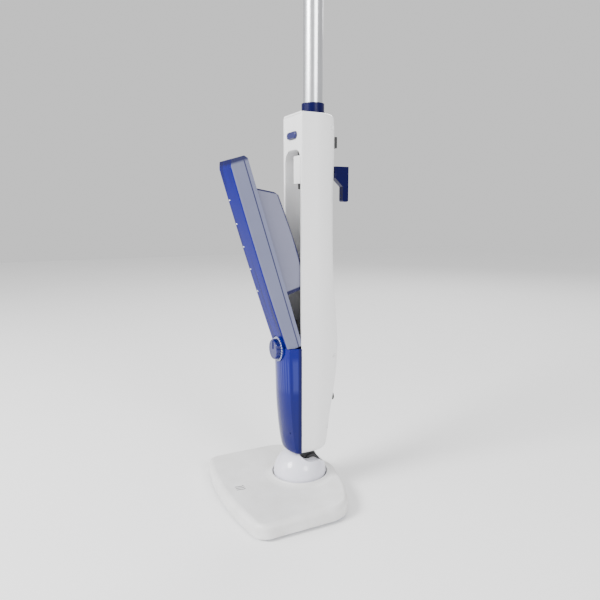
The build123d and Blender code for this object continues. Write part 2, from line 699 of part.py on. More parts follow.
def latch_housing():
    shape = block(-10, 10, -17, 13.8, 424, 459)
    shape = fillet(shape.edges().filter_by(Axis.Z).group_by(Axis.Y)[0], 3)
    shape -= block(-5.4, 5.4, PAWL_Y[0] - 0.3, PAWL_Y[1] + 0.3, 423, 460)
    return shape - block(-8, 8, PAWL_Y[1] + 3, 11.8, 423, 457)


def latch_pawl():
    """Vertical slider; a ramp on the button lifts it out of the tank keeper."""
    y0, y1 = PAWL_Y
    pawl = block(-5, 5, y0, y1, 417.5, 491)
    nose = polygon((y0, 419.5), (y0 + 1.2, 416.9), (y1 - 1.2, 416.9), (y1, 419.5))
    pawl += side_prism(nose, -5, 5)
    window = polygon((y0 - 1, 470), (y1 + 1, 470), (y1 + 1, 479.0), (y0 - 1, 484.5))
    pawl -= side_prism(window, -3.2, 3.2)
    return pawl + block(-5, 5, -14.1, y1, 488.5, 491)


def release_button():
    """Pill button with a retaining flange and a ramped stem."""
    proud = BODY_FRONT_Y - 3.0
    back = -14.2
    pill = front_prism(Pos(0, BUTTON_Z) * SlotOverall(BUTTON_LENGTH, BUTTON_HEIGHT), proud, -15.7)
    pill = fillet(pill.edges().group_by(Axis.Y)[0], 1.4)
    flange = front_prism(Pos(0, BUTTON_Z - 0.5) * SlotOverall(BUTTON_LENGTH + 4, BUTTON_HEIGHT + 3), -15.7, back)
    stem = polygon((back - 0.1, 476), (-8.2, 476), (-8.2, 479.45), (back - 0.1, 485.45))
    return pill + flange + side_prism(stem, -2.7, 2.7)


def latch_spring():
    return coil((0, -11.4, 491.6), 2.5, 0.4, 14.0, 6)


def hinge_pin():
    return rod((-22, HINGE_Y, HINGE_Z), (1, 0, 0), HINGE_PIN_R, 44)


def build_bay():
    save("hinge_bracket", hinge_bracket())
    save("hinge_pin", hinge_pin())
    save("valve_dock", valve_dock())
    save("dock_seal", dock_seal())
    save("latch_housing", latch_housing())
    save("latch_pawl", latch_pawl())
    save("latch_spring", latch_spring())
    save("release_button", release_button())


# ------------------------------------------------------------------ boiler, pump and wiring board


def boiler():
    fin_depth = 1.6
    body = block(-15, 15, *BOILER_Y, *BOILER_Z)
    body = fillet(body.edges().filter_by(Axis.Z), 4)
    for index in range(7):
        z = BOILER_Z[0] + 6 + index * 9
        body -= block(-16, 16, BOILER_Y[1] - fin_depth, BOILER_Y[1] + 1, z, z + 4)
    for x, y in HEATER_LEGS:
        body -= rod((x, y, BOILER_Z[0] + 4), (0, 0, 1), 3.3, 80)
    for x, y in (BOILER_INLET, BOILER_OUTLET):
        body += rod((x, y, BOILER_Z[0] - 5), (0, 0, 1), 2.4, 5.5)
        body -= rod((x, y, BOILER_Z[0] - 6), (0, 0, 1), 1.3, 60)
    return body


def heating_element():
    element = Part()
    for x, y in HEATER_LEGS:
        element += rod((x, y, BOILER_Z[0] + 5), (0, 0, 1), 3.2, 68)
        element += rod((x, y, BOILER_Z[1] + 2), (0, 0, 1), 1.2, 8)
    return element


def thermostat():
    disc = rod((0, BOILER_Y[0] - 4.1, 150), (0, 1, 0), 7, 4)
    tabs = block(-5, -3.8, BOILER_Y[0] - 8, BOILER_Y[0] - 4, 148, 152)
    return disc + both_sides(tabs)


def pump():
    body = rod((0, PUMP_Y, 122), (0, 0, 1), PUMP_R, 40)
    for z in (129, 152):
        body += rod((0, PUMP_Y, z), (0, 0, 1), PUMP_R + 2, 4)
    body += rod((0, PUMP_Y, 112), (0, 0, 1), 2.4, 60)
    return body - rod((0, PUMP_Y, 111), (0, 0, 1), 1.2, 62)


def pump_mounts():
    """Rubber blocks that cradle the pump."""
    mounts = Part()
    for z in (134.5, 145.5):
        mounts += block(-15, 15, PUMP_Y - 13, PUMP_Y + 13, z, z + 5)
        mounts -= rod((0, PUMP_Y, z), (0, 0, 1), PUMP_R + 0.05, 5)
    return mounts


def inlet_hose():
    return hose([(0, 8.5, 211), (0, 7, 203), (0, -8, 188), (0, PUMP_Y, 180), (0, PUMP_Y, 167.5)], 3.8, 2.7)


def feed_hose():
    x, y = BOILER_INLET
    return hose([(0, PUMP_Y, 116), (0, PUMP_Y, 106), (7, -14, 98), (x, y, 98), (x, y, 108.5)], 3.6, 2.5)


def steam_pipe():
    x, y = BOILER_OUTLET
    return hose([(x, y, 108.5), (x, y, 101), (-4, -5, 95), (0, -8, 92), (0, -8, 84.3)], 3.6, 2.5)


def control_board():
    board = block(-14, 14, 19, 20.6, 300, 366)
    board += block(-9, 3, 20.6, 29, 306, 322)
    board += rod((5, 25, 330), (0, 0, 1), 4.0, 20) + block(3, 7, 20.6, 25, 334, 346)
    board += block(-11, -3, 20.6, 26, 332, 356)
    return board + both_sides(block(11, 13, 16.1, 19, 302, 364))


def steam_regulator():
    """Rotary valve behind the dial."""
    body = block(-9, 9, -40.6, -27, 191, 208.6)
    body = fillet(body.edges().filter_by(Axis.Y), 2)
    return body - rod((0, -42, DIAL_Z), (0, 1, 0), 2.52, 10)


def build_internals():
    save("boiler", boiler())
    save("heating_element", heating_element())
    save("thermostat", thermostat())
    save("pump", pump())
    save("pump_mounts", pump_mounts())
    save("inlet_hose", inlet_hose())
    save("feed_hose", feed_hose())
    save("steam_pipe", steam_pipe())
    save("control_board", control_board())
    save("steam_regulator", steam_regulator())


# ------------------------------------------------------------------ controls on the body
def dial_ring():
    """Printed scale ring round the dial, let into the tab."""
    return ring((0, TAB_FRONT_Y - 0.8, DIAL_Z), (0, 1, 0), DIAL_RING_R, DIAL_R + 0.4, 0.7)


def steam_dial():
    knob = rod((0, TAB_FRONT_Y - 7.0, DIAL_Z), (0, 1, 0), DIAL_R, 6.5)
    knob = fillet(knob.edges().group_by(Axis.Y)[0], 1.6)
    for index in range(12):
        flute = Rot(0, 30 * index + 15, 0) * Pos(DIAL_R + 1.0, 0, 0) * Rot(90, 0, 0) * Cylinder(1.7, 20)
        knob -= Pos(0, TAB_FRONT_Y - 3, DIAL_Z) * flute
    knob += block(-1.2, 1.2, TAB_FRONT_Y - 7.9, TAB_FRONT_Y - 6.9, DIAL_Z + 1, DIAL_Z + 11)
    return knob + rod((0, TAB_FRONT_Y - 1, DIAL_Z), (0, 1, 0), 2.45, 12)


def switch_bezel():
    outer = block(-7.5, 7.5, 28, 38.4, SWITCH_Z - 6, SWITCH_Z + 6)
    outer += block(-9, 9, 34.6, 38.4, SWITCH_Z - 7.2, SWITCH_Z + 7.2)
    outer -= rear_skin()
    return outer - block(-5.6, 5.6, 31, 45, SWITCH_Z - 4.8, SWITCH_Z + 4.8)


def rear_skin():
    """The moulded back wall around the switch, used to seat the bezel flange on it."""
    wall = body_form(0, BODY_FRONT_Y) - body_form(WALL, BODY_FRONT_Y - 8)
    return wall - block(-7.6, 7.6, 25, 60, SWITCH_Z - 6.1, SWITCH_Z + 6.1)


def power_rocker():
    """Rocker: a shallow vee key turning on a cross pin."""
    face = polygon((33, SWITCH_Z - 4.2), (38.9, SWITCH_Z - 4.2), (37.6, SWITCH_Z),
                   (40.4, SWITCH_Z + 4.0), (33, SWITCH_Z + 4.2))
    return side_prism(face, -5.2, 5.2)


def cord_hook():
    arm, tip = 59.0, 401.0
    profile = polygon((38.2, 432.5), (50.5, 421), (50.5, tip), (arm, tip), (arm, 447.5), (38.2, 447.5))
    profile = fillet(profile.vertices().sort_by(Axis.Y)[:2], 2.5)
    hook = side_prism(profile, -5, 5)
    hook += rod((0, 35.7, HOOK_Z), (0, 1, 0), 8.5, 3.0)
    hook += rod((0, 20.5, HOOK_Z), (0, 1, 0), 3.0, 16)
    return hook


def hook_clip():
    """Spring washer that holds the hook spindle in the back wall."""
    return ring((0, 17.9, HOOK_Z), (0, 1, 0), 6.5, 3.1, 1.8)


def cord_gland():
    bush = ring((0, 31.5, GLAND_Z), (0, 1, 0), 6.0, 3.6, 8.0)
    return bush + ring((0, 29.6, GLAND_Z), (0, 1, 0), 7.6, 3.6, 2.0)


def build_controls():
    save("dial_ring", dial_ring())
    save("steam_dial", steam_dial())
    save("switch_bezel", switch_bezel())
    save("power_rocker", power_rocker())
    save("cord_hook", cord_hook())
    save("hook_clip", hook_clip())
    save("cord_gland", cord_gland())


# ------------------------------------------------------------------ handle
def tube_section(z0, z1):
    return ring((0, TUBE_Y, z0), (0, 0, 1), TUBE_R, TUBE_R - TUBE_WALL, z1 - z0)


def pin_hole(z, radius):
    return rod((0, TUBE_Y - 20, z), (0, 1, 0), radius, 40)


def top_collar():
    collar = ring((0, TUBE_Y, BAY_TOP_Z + 0.2), (0, 0, 1), COLLAR_R, TUBE_R + RUNNING, COLLAR_TOP_Z - BAY_TOP_Z - 0.2)
    collar += ring((0, TUBE_Y, BODY_TOP_Z + 0.3), (0, 0, 1), COLLAR_R + 0.9, COLLAR_R - 1, 2.6)
    collar += block(-4, 4, -15, -6.5, BUTTON_Z + 22.2, BUTTON_Z + 24.2)
    return collar - pin_hole(500, 1.6)


def tube_coupler():
    z0, z1 = TUBE_JOINT_Z - 26, TUBE_JOINT_Z + 26
    coupler = rod((0, TUBE_Y, z0), (0, 0, 1), COLLAR_R, z1 - z0)
    coupler = fillet(coupler.edges(), 1.6)
    coupler -= rod((0, TUBE_Y, z0), (0, 0, 1), TUBE_R + RUNNING, TUBE_JOINT_Z - 1.5 - z0)
    coupler -= rod((0, TUBE_Y, TUBE_JOINT_Z + 1.5), (0, 0, 1), TUBE_R + RUNNING, z1 - TUBE_JOINT_Z)
    for side in (-1, 1):
        for step in range(4):
            z = TUBE_JOINT_Z + side * 6 + (step - 1.5) * 2.6
            coupler -= ring((0, TUBE_Y, z - 0.5), (0, 0, 1), COLLAR_R + 1, COLLAR_R - 0.5, 1.0)
    return coupler - pin_hole(TUBE_JOINT_Z - 18, 1.6) - pin_hole(TUBE_JOINT_Z + 18, 1.6)


def grip_form():
    """Rounded handgrip, slimmer in the palm and fuller towards both ends."""
    stations = ((0, 16.0, 17.0), (22, 17.5, 19.5), (70, 16.0, 17.5), (118, 16.8, 19.5), (150, 17.5, 21.5))
    sections = []
    for rise, half_x, half_y in stations:
        plane = Pos(0, TUBE_Y, GRIP_BOTTOM_Z + rise)
        sections.append(plane * make_face(EllipticalCenterArc((0, 0), half_x, half_y, 0, arc_size=360)))
    return loft(sections)


def grip_halves():
    form = grip_form() - rod((0, TUBE_Y, GRIP_BOTTOM_Z - 1), (0, 0, 1), TUBE_R + RUNNING, 131)
    form -= rod((0, TUBE_Y, GRIP_TOP_Z - 14), (0, 0, 1), 10.05, 20)
    insert = grip_insert()
    form -= insert
    for z in GRIP_SCREW_Z:
        form -= rod((0, TUBE_Y + 13.0, z), (0, 1, 0), 3.0, 20)
        form -= pin_hole(z, 1.6)
    front = form & block(-40, 40, TUBE_Y - 40, TUBE_Y - 0.05, GRIP_BOTTOM_Z - 1, GRIP_TOP_Z + 1)
    rear = form & block(-40, 40, TUBE_Y + 0.05, TUBE_Y + 40, GRIP_BOTTOM_Z - 1, GRIP_TOP_Z + 1)
    return front, rear, insert


def grip_insert():
    """Soft palm pad let into the front of the grip."""
    window = front_prism(Pos(0, GRIP_BOTTOM_Z + 70) * SlotOverall(84, 20, rotation=90), TUBE_Y - 40, TUBE_Y - 8)
    core = grip_form() & block(-40, 40, TUBE_Y - 14.6, TUBE_Y + 30, GRIP_BOTTOM_Z - 1, GRIP_TOP_Z + 1)
    pad = (grip_form() & window) - core
    return pad


def end_cap():
    cap = Pos(0, TUBE_Y, GRIP_TOP_Z + 0.2) * make_face(EllipticalCenterArc((0, 0), 17.5, 21.5, 0, arc_size=360))
    cap = extrude(cap, amount=HANDLE_TOP_Z - GRIP_TOP_Z - 0.2)
    cap = fillet(cap.edges().group_by(Axis.Z)[-1], 6)
    cap += rod((0, TUBE_Y, GRIP_TOP_Z - 13), (0, 0, 1), 10, 15)
    return cap - rod((-30, TUBE_Y, GRIP_TOP_Z + 7), (1, 0, 0), 4.0, 60)


def upper_hook():
    """Clip-on cord hook, its arm turned up."""
    z0, z1 = 950.0, 974.0
    clip = ring((0, TUBE_Y, z0), (0, 0, 1), 15.5, TUBE_R + RUNNING, z1 - z0)
    profile = polygon((TUBE_Y + 14.8, z0 + 1), (46, z0 + 1), (46, 996), (39.5, 996), (39.5, z0 + 12),
                      (TUBE_Y + 14.8, z0 + 20))
    profile = fillet(profile.vertices().sort_by(Axis.Y)[-2:], 2.5)
    arm = side_prism(profile, -5, 5) - rod((0, TUBE_Y, z0), (0, 0, 1), TUBE_R + RUNNING, 60)
    return clip + arm - pin_hole(z0 + 5, 1.6)


def handle_pins():
    """Cross screws through the tube at the collar, coupler, hook and grip."""
    pins = Part()
    for z in (500.0, TUBE_JOINT_Z - 18, TUBE_JOINT_Z + 18, 955.0):
        pins += rod((0, TUBE_Y - 14.4, z), (0, 1, 0), 1.5, 28.8)
    for z in GRIP_SCREW_Z:
        pins += rod((0, TUBE_Y - 14.0, z), (0, 1, 0), 1.5, 29.0)
        pins += rod((0, TUBE_Y + 13.1, z), (0, 1, 0), 2.8, 2.0)
    return pins


def build_handle():
    lower = tube_section(BAY_TOP_Z + 1, TUBE_JOINT_Z - 2) - pin_hole(500, 1.6) - pin_hole(TUBE_JOINT_Z - 18, 1.6)
    upper = tube_section(TUBE_JOINT_Z + 2, GRIP_BOTTOM_Z + 129) - pin_hole(TUBE_JOINT_Z + 18, 1.6)
    upper -= pin_hole(955, 1.6)
    for z in GRIP_SCREW_Z:
        upper -= pin_hole(z, 1.6)
    front, rear, insert = grip_halves()
    save("top_collar", top_collar())
    save("lower_tube", lower)
    save("tube_coupler", tube_coupler())
    save("upper_tube", upper)
    save("upper_hook", upper_hook())
    save("grip_front", front)
    save("grip_rear", rear)
    save("grip_insert", insert)
    save("end_cap", end_cap())
    save("handle_screws", handle_pins())


os.makedirs("parts", exist_ok=True)
build_head()
build_swivel()
build_body()
build_tank()
build_bay()
build_internals()
build_controls()
build_handle()
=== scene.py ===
import json
import math

import bmesh
import bpy
from mathutils import Euler, Matrix, Vector


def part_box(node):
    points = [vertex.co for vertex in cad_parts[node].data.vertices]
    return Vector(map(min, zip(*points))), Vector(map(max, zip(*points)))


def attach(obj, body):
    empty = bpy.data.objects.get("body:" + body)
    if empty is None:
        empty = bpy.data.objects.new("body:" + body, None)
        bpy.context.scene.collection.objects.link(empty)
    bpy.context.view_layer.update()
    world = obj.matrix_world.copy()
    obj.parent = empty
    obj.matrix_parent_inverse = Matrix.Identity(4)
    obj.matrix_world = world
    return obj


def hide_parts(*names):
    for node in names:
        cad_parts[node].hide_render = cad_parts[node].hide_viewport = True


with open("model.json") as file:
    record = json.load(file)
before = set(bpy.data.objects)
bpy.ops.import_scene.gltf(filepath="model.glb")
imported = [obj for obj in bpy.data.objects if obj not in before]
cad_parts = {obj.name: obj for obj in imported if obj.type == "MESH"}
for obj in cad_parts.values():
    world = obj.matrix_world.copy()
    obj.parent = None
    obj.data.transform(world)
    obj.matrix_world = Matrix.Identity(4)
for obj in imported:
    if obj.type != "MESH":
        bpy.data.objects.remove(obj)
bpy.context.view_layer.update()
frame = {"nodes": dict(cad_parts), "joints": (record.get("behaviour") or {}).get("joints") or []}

# ---------------------------------------------------------------- camera and studio
# A plain pale floor under soft light with a white world behind, seen from the mop's left front quarter at
# standing knee height, with the whole body and the head in view.
camera_data = bpy.data.cameras.new("camera")
camera_data.sensor_width = 36.0
camera_data.lens = 32.8
camera_data.clip_start = 0.01
look_down, look_turn = 9.34, 64.1
camera = bpy.data.objects.new("camera", camera_data)
camera.location = (0.6562, -0.3301, 0.390)
camera.rotation_euler = (math.radians(90.0 - look_down), 0.0, math.radians(look_turn))
bpy.context.scene.collection.objects.link(camera)
bpy.context.scene.camera = camera


def soft_light(name, place, aim, size, power):
    """A round area lamp that looks at the aim point."""
    lamp = bpy.data.lights.new(name, "AREA")
    lamp.shape = "DISK"
    lamp.size = size
    lamp.energy = power
    holder = bpy.data.objects.new(name, lamp)
    holder.location = place
    direction = Vector(aim) - Vector(place)
    holder.rotation_euler = direction.to_track_quat("-Z", "Y").to_euler()
    bpy.context.scene.collection.objects.link(holder)


soft_light("key_light", (0.2, -1.9, 1.5), (0, 0, 0.3), 0.9, 88.0)
soft_light("side_light", (2.1, 0.2, 1.3), (0, 0, 0.3), 0.9, 34.0)
soft_light("front_light", (-0.6, -1.9, 0.7), (0, 0, 0.3), 1.0, 9.0)
soft_light("back_light", (-1.4, 1.5, 1.8), (0, 0, 0.4), 1.2, 24.0)

world = bpy.data.worlds.new("studio")
world.use_nodes = True
world.node_tree.nodes["Background"].inputs["Color"].default_value = (1.0, 1.0, 1.0, 1.0)
world.node_tree.nodes["Background"].inputs["Strength"].default_value = 0.85
bpy.context.scene.world = world


# the Mix node's colour sockets by place, because its sockets of other types share their names
FACTOR, COLOUR_A, COLOUR_B, COLOUR_OUT = 0, 6, 7, 2


class Wire:
    """A shader output that takes part in Python arithmetic, so that a pattern reads as a formula."""

    def __init__(self, tree, socket):
        self.tree = tree
        self.socket = socket

    def node(self, kind, settings=None, inputs=None, output=0):
        """Add a node: its settings first, then the values or links of its sockets."""
        made = self.tree.nodes.new("ShaderNode" + kind)
        for key, value in (settings or {}).items():
            setattr(made, key, value)
        for key, value in (inputs or {}).items():
            if isinstance(value, Wire):
                self.tree.links.new(value.socket, made.inputs[key])
            else:
                made.inputs[key].default_value = value
        return Wire(self.tree, made.outputs[output])

    def math(self, operation, *others):
        """A Math node with this wire as its first number."""
        return self.node("Math", {"operation": operation}, dict(enumerate((self, *others))))

    def __add__(self, other):
        return self.math("ADD", other)

    def __radd__(self, other):
        return self.math("ADD", other)

    def __sub__(self, other):
        return self.math("SUBTRACT", other)

    def __rsub__(self, other):
        return self.node("Math", {"operation": "SUBTRACT"}, {0: other, 1: self})

    def __mul__(self, other):
        return self.math("MULTIPLY", other)

    def __rmul__(self, other):
        return self.math("MULTIPLY", other)

    def above(self, level, blur):
        """0 below the level, 1 above it, with a soft step."""
        edges = {"Value": self, "From Min": level - blur, "From Max": level + blur}
        return self.node("MapRange", {}, edges)

    def noise(self, scale, detail=2.0):
        return self.node("TexNoise", {}, {"Vector": self, "Scale": scale, "Detail": detail})

    def split(self):
        """The three parts of a vector."""
        made = self.node("SeparateXYZ", {}, {"Vector": self})
        outputs = made.socket.node.outputs
        return [Wire(self.tree, outputs[axis]) for axis in range(3)]

    def mix(self, low, high):
        """Blend two colours by this wire."""
        sockets = {COLOUR_A: as_colour(low), COLOUR_B: as_colour(high), FACTOR: self}
        return self.node("Mix", {"data_type": "RGBA"}, sockets, output=COLOUR_OUT)


def as_colour(value):
    return value if isinstance(value, Wire) else (*value, 1.0)


class Finish:
    """A material under way: its object coordinates and its surface shader."""

    def __init__(self, name, **constants):
        self.material = bpy.data.materials.new(name)
        self.material.use_nodes = True
        self.tree = self.material.node_tree
        self.shader = self.tree.nodes["Principled BSDF"]
        place = self.tree.nodes.new("ShaderNodeTexCoord")
        self.place = Wire(self.tree, place.outputs["Object"])
        self.facing = Wire(self.tree, place.outputs["Normal"])
        for key, value in constants.items():
            self.shader.inputs[key.replace("_", " ")].default_value = value

    def feed(self, socket, value):
        if isinstance(value, Wire):
            self.tree.links.new(value.socket, self.shader.inputs[socket])
        else:
            self.shader.inputs[socket].default_value = value

    def bump(self, height, strength, distance=0.001):
        made = self.place.node("Bump", {}, {"Height": height, "Strength": strength, "Distance": distance})
        self.feed("Normal", made)


floor_finish = Finish("studio_floor")
floor_tone = floor_finish.place.noise(3.0).mix((0.93, 0.93, 0.93), (0.96, 0.96, 0.96))
floor_finish.feed("Base Color", floor_tone)
floor_finish.feed("Roughness", 0.75)
bpy.ops.object.select_all(action="DESELECT")
bpy.ops.mesh.primitive_plane_add(size=8.0, location=(0, 0, -0.0002))
studio_floor = bpy.context.object
studio_floor.name = "studio_floor"
studio_floor.data.materials.append(floor_finish.material)


# ---------------------------------------------------------------- white mouldings
# The housing, front panel, head cover and grip halves are injection-moulded ABS, white with a
# satin gloss and a fine orange-peel skin; the head's mouldings get darker brownish patches low down.
def moulded(name, pale, deep, gloss, grain, low_patches=0.0, **constants):
    """Moulded plastic: mottled colour, uneven gloss, orange-peel skin and light scuffs."""
    finish = Finish(name, **constants)
    cloud = finish.place.noise(18.0, 4.0)
    fleck = finish.place.noise(900.0, 1.0)
    scuff = finish.place.noise(55.0, 6.0).above(0.66, 0.08)
    tone = (cloud * 0.7 + fleck * 0.3).mix(deep, pale)
    # Darker brownish patches, in a noise pattern that grows towards the bottom of the piece.
    if low_patches:
        height = finish.place.split()[2]
        low_patch_mask = (1.0 - height.above(0.02, 0.02)) * finish.place.noise(40.0, 5.0).above(0.5, 0.2) * low_patches
        tone = low_patch_mask.mix(tone, (0.42, 0.4, 0.36))
    finish.feed("Base Color", tone)
    finish.feed("Roughness", gloss + cloud * 0.08 + scuff * 0.10)
    finish.bump(finish.place.noise(grain, 2.0), 0.06, 0.0004)
    return finish.material


def dress(material, *nodes):
    """Give the named CAD pieces this finish."""
    for node in nodes:
        for slot in frame["nodes"][node].material_slots:
            slot.material = material


dress(moulded("white_abs", (0.84, 0.84, 0.84), (0.79, 0.79, 0.795), 0.30, 700.0, IOR=1.5, Coat_Weight=0.15),
      "rear_housing", "front_frame", "latch_housing", "grip_front", "grip_rear")
dress(moulded("head_white", (0.78, 0.78, 0.78), (0.71, 0.71, 0.71), 0.34, 700.0, low_patches=0.5, IOR=1.5),
      "head_shell", "head_base_plate")

# ---------------------------------------------------------------- swivel dome
# The dome is a separate glossier moulding with a cooler white.  It is pinned to the head at
# front and back and the black neck turns on a steel pin inside it.
dress(moulded("dome_white", (0.72, 0.72, 0.80), (0.66, 0.66, 0.74), 0.22, 600.0, IOR=1.5, Coat_Weight=0.3),
      "swivel_dome")

# ---------------------------------------------------------------- neck and black mouldings
# Glass-filled nylon, nearly black, with a fine spark-eroded texture that keeps it matt.
def spark_texture(name, pale, deep, gloss, strength):
    """Matt moulding: fine eroded grain, rubbed smoother in patches."""
    finish = Finish(name, IOR=1.5)
    grain = finish.place.noise(1600.0, 2.0)
    wear = finish.place.noise(60.0, 5.0).above(0.62, 0.1)
    finish.feed("Base Color", (grain * 0.8 + wear * 0.4).mix(deep, pale))
    finish.feed("Roughness", gloss + grain * 0.15 - wear * 0.08)
    finish.bump(grain, strength, 0.0005)
    return finish.material


black_nylon = spark_texture("black_nylon", (0.030, 0.030, 0.032), (0.008, 0.008, 0.009), 0.42, 0.25)
dress(black_nylon, "neck_knuckle", "switch_bezel", "power_rocker", "latch_pawl", "pump", "thermostat",
      "tank_valve")
dress(spark_texture("grey_nylon", (0.13, 0.13, 0.135), (0.07, 0.07, 0.075), 0.45, 0.2),
      "hinge_bracket", "valve_dock", "steam_channel", "steam_regulator", "tank_catch")

# ---------------------------------------------------------------- water tank
# The tank is two clear blue-tinted mouldings welded together: a bowed front shell that carries
# the level marks and a box behind it.  Through the thin sides it looks lilac; along its thick
# edges and at the rims the tint builds up to navy.
hinge = next(joint for joint in frame["joints"] if joint["name"] == "tank_tilt")
hinge_place = Vector(hinge["pos_m"])
tank_tilt = math.radians(17.0)


def shut_place(finish):
    """Object coordinates turned back to the shut tank, so rims run straight up and across."""
    turn = Matrix.Rotation(-tank_tilt, 4, "X")
    shift = hinge_place - turn @ hinge_place
    inputs = {"Vector": finish.place, "Location": shift, "Rotation": Euler((-tank_tilt, 0, 0))}
    return finish.place.node("Mapping", {"vector_type": "POINT"}, inputs)


def tinted(name, front, side, rim, rim_mask, **constants):
    """Clear tinted plastic: its colour follows how much of it the light crosses."""
    finish = Finish(name, Specular_IOR_Level=0.3, **constants)
    facing = finish.facing.split()
    sideways = facing[0].math("ABSOLUTE").above(0.75, 0.15)
    place = shut_place(finish)
    cloud = place.noise(14.0, 3.0)
    tone = sideways.mix(front, side)
    tone = (cloud * 0.22).mix(tone, rim)
    # Painted refraction: dark streaks down the front faces stand in for light bent through the clear walls.
    painted_refraction_streaks = place.node("Mapping", {}, {"Vector": place, "Scale": (90.0, 90.0, 7.0)}).noise(1.0, 3.0)
    tone = (painted_refraction_streaks.above(0.56, 0.07) * (1.0 - sideways) * 0.75).mix(tone, rim)
    tone = rim_mask(place).mix(tone, rim)
    finish.feed("Base Color", tone)
    finish.feed("Roughness", 0.12 + cloud * 0.10)
    finish.bump(place.noise(260.0, 2.0), 0.03, 0.0004)
    return finish.material


def front_rims(place):
    """Dark lines where the shell's walls turn: the weld flange and the top."""
    flange_y, flange_half_width, top_z = -0.0285, 0.0007, 0.4575
    x, y, z = place.split()
    from_flange = (y - flange_y).math("ABSOLUTE")
    flange = 1.0 - from_flange.above(flange_half_width, 0.0004)
    top = z.above(top_z, 0.0015)
    return flange.math("MAXIMUM", top) * 0.8


def box_rims(place):
    """Dark lines along the box's sloping top, its leaning back wall and its flat bottom."""
    top_slope, top_z = 0.51, 0.4085
    back_slope, back_y = 0.0766, 0.0332
    bottom_z, rim_share = 0.2855, 0.9
    x, y, z = place.split()
    top = (z + y * top_slope).above(top_z, 0.0006)
    back = (y + z * back_slope).above(back_y, 0.0007)
    bottom = 1.0 - z.above(bottom_z, 0.0006)
    return top.math("MAXIMUM", back).math("MAXIMUM", bottom) * rim_share


rim_navy = (0.001, 0.001, 0.04)
dress(tinted("tank_blue", (0.001, 0.002, 0.15), (0.17, 0.18, 0.265), rim_navy, front_rims, IOR=1.14),
      "tank_front")
dress(tinted("tank_lilac", (0.01, 0.015, 0.15), (0.205, 0.21, 0.285), rim_navy, box_rims, IOR=1.3),
      "tank_box")
dress(spark_texture("level_print", (0.85, 0.86, 0.90), (0.6, 0.62, 0.7), 0.4, 0.1), "level_marks")

# ---------------------------------------------------------------- lower cover
# The lower cover is the same tinted plastic over the white chassis, so it reads as a softer
# mid blue, brighter in the middle of its front and deep at its sides.
cover_finish = Finish("cover_blue", IOR=1.35, Specular_IOR_Level=0.3)
cover_x, cover_y, cover_z = cover_finish.place.split()
cover_cloud = cover_finish.place.noise(16.0, 3.0)
cover_lift = cover_z.above(0.165, 0.03)
cover_tone = (cover_cloud * 0.6 + 0.2).mix((0.002, 0.003, 0.09), (0.004, 0.006, 0.13))
cover_tone = (cover_lift * 0.6).mix(cover_tone, (0.001, 0.003, 0.16))
cover_foot = 1.0 - cover_z.above(0.13, 0.035)
cover_tone = (cover_foot * 0.6).mix(cover_tone, (0.008, 0.009, 0.075))
rib_rate = 1500.0
rib_band = cover_z.above(0.150, 0.004) * (1.0 - cover_z.above(0.194, 0.004))
hidden_ribs = (cover_x * rib_rate).math("SINE").above(0.3, 0.3) * rib_band
cover_tone = (hidden_ribs * 0.35).mix(cover_tone, (0.05, 0.06, 0.25))
cover_edge = cover_y.above(-0.0262, 0.0012)
cover_tone = (cover_edge * 0.9).mix(cover_tone, (0.002, 0.002, 0.05))
cover_finish.feed("Base Color", cover_tone)
cover_finish.feed("Roughness", 0.14 + cover_cloud * 0.10)
cover_finish.bump(cover_finish.place.noise(240.0, 2.0), 0.03, 0.0004)
dress(cover_finish.material, "lower_cover")

# ---------------------------------------------------------------- navy mouldings
# Collar, coupler, cord hooks, dial, button, filler cap and end cap are solid navy plastic,
# polished, with fine handling scratches.
navy = moulded("navy_plastic", (0.0015, 0.0015, 0.05), (0.001, 0.001, 0.035), 0.24, 500.0,
               IOR=1.35, Specular_IOR_Level=0.25)
dress(navy, "top_collar", "tube_coupler", "upper_hook", "cord_hook", "end_cap", "filler_cap")
dress(moulded("button_blue", (0.008, 0.010, 0.10), (0.006, 0.007, 0.08), 0.25, 500.0, IOR=1.5),
      "release_button")
dress(moulded("dial_blue", (0.001, 0.003, 0.11), (0.001, 0.002, 0.08), 0.22, 500.0, IOR=1.5), "steam_dial")

# ---------------------------------------------------------------- dial scale
# The scale is a pad-printed ring round the dial with short strokes that grow round it.
ring_low, ring_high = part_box("dial_ring")
ring_centre = (ring_low + ring_high) / 2
scale_finish = Finish("dial_scale", IOR=1.5)
scale_x, scale_y, scale_z = scale_finish.place.split()
angle = (scale_z - ring_centre.z).math("ARCTAN2", scale_x - ring_centre.x)
stroke_count = 28.0
stroke = (angle * stroke_count).math("SINE").above(0.1, 0.15)
scale_speck = scale_finish.place.noise(1200.0, 1.0)
scale_tone = (stroke * 0.75 + scale_speck * 0.2).mix((0.008, 0.012, 0.16), (0.45, 0.48, 0.58))
scale_finish.feed("Base Color", scale_tone)
scale_finish.feed("Roughness", 0.35 + scale_speck * 0.1)
scale_finish.bump(stroke, 0.1, 0.0003)
dress(scale_finish.material, "dial_ring")

# ---------------------------------------------------------------- handle tubes
# The two handle tubes are drawn and anodised aluminium, satin, with fine lines along the draw.
tube_finish = Finish("drawn_aluminium", IOR=1.45)
stretched = tube_finish.place.node("Mapping", {}, {"Vector": tube_finish.place, "Scale": (900.0, 900.0, 9.0)})
draw_line = stretched.noise(1.0, 3.0)
tube_cloud = tube_finish.place.noise(30.0, 3.0)
tube_finish.feed("Metallic", 1.0)
tube_tone = (draw_line * 0.6 + tube_cloud * 0.4).mix((0.50, 0.51, 0.53), (0.68, 0.69, 0.71))
tube_finish.feed("Base Color", tube_tone)
tube_finish.feed("Roughness", 0.24 + draw_line * 0.16)
tube_finish.bump(draw_line, 0.08, 0.0003)
dress(tube_finish.material, "lower_tube", "upper_tube")


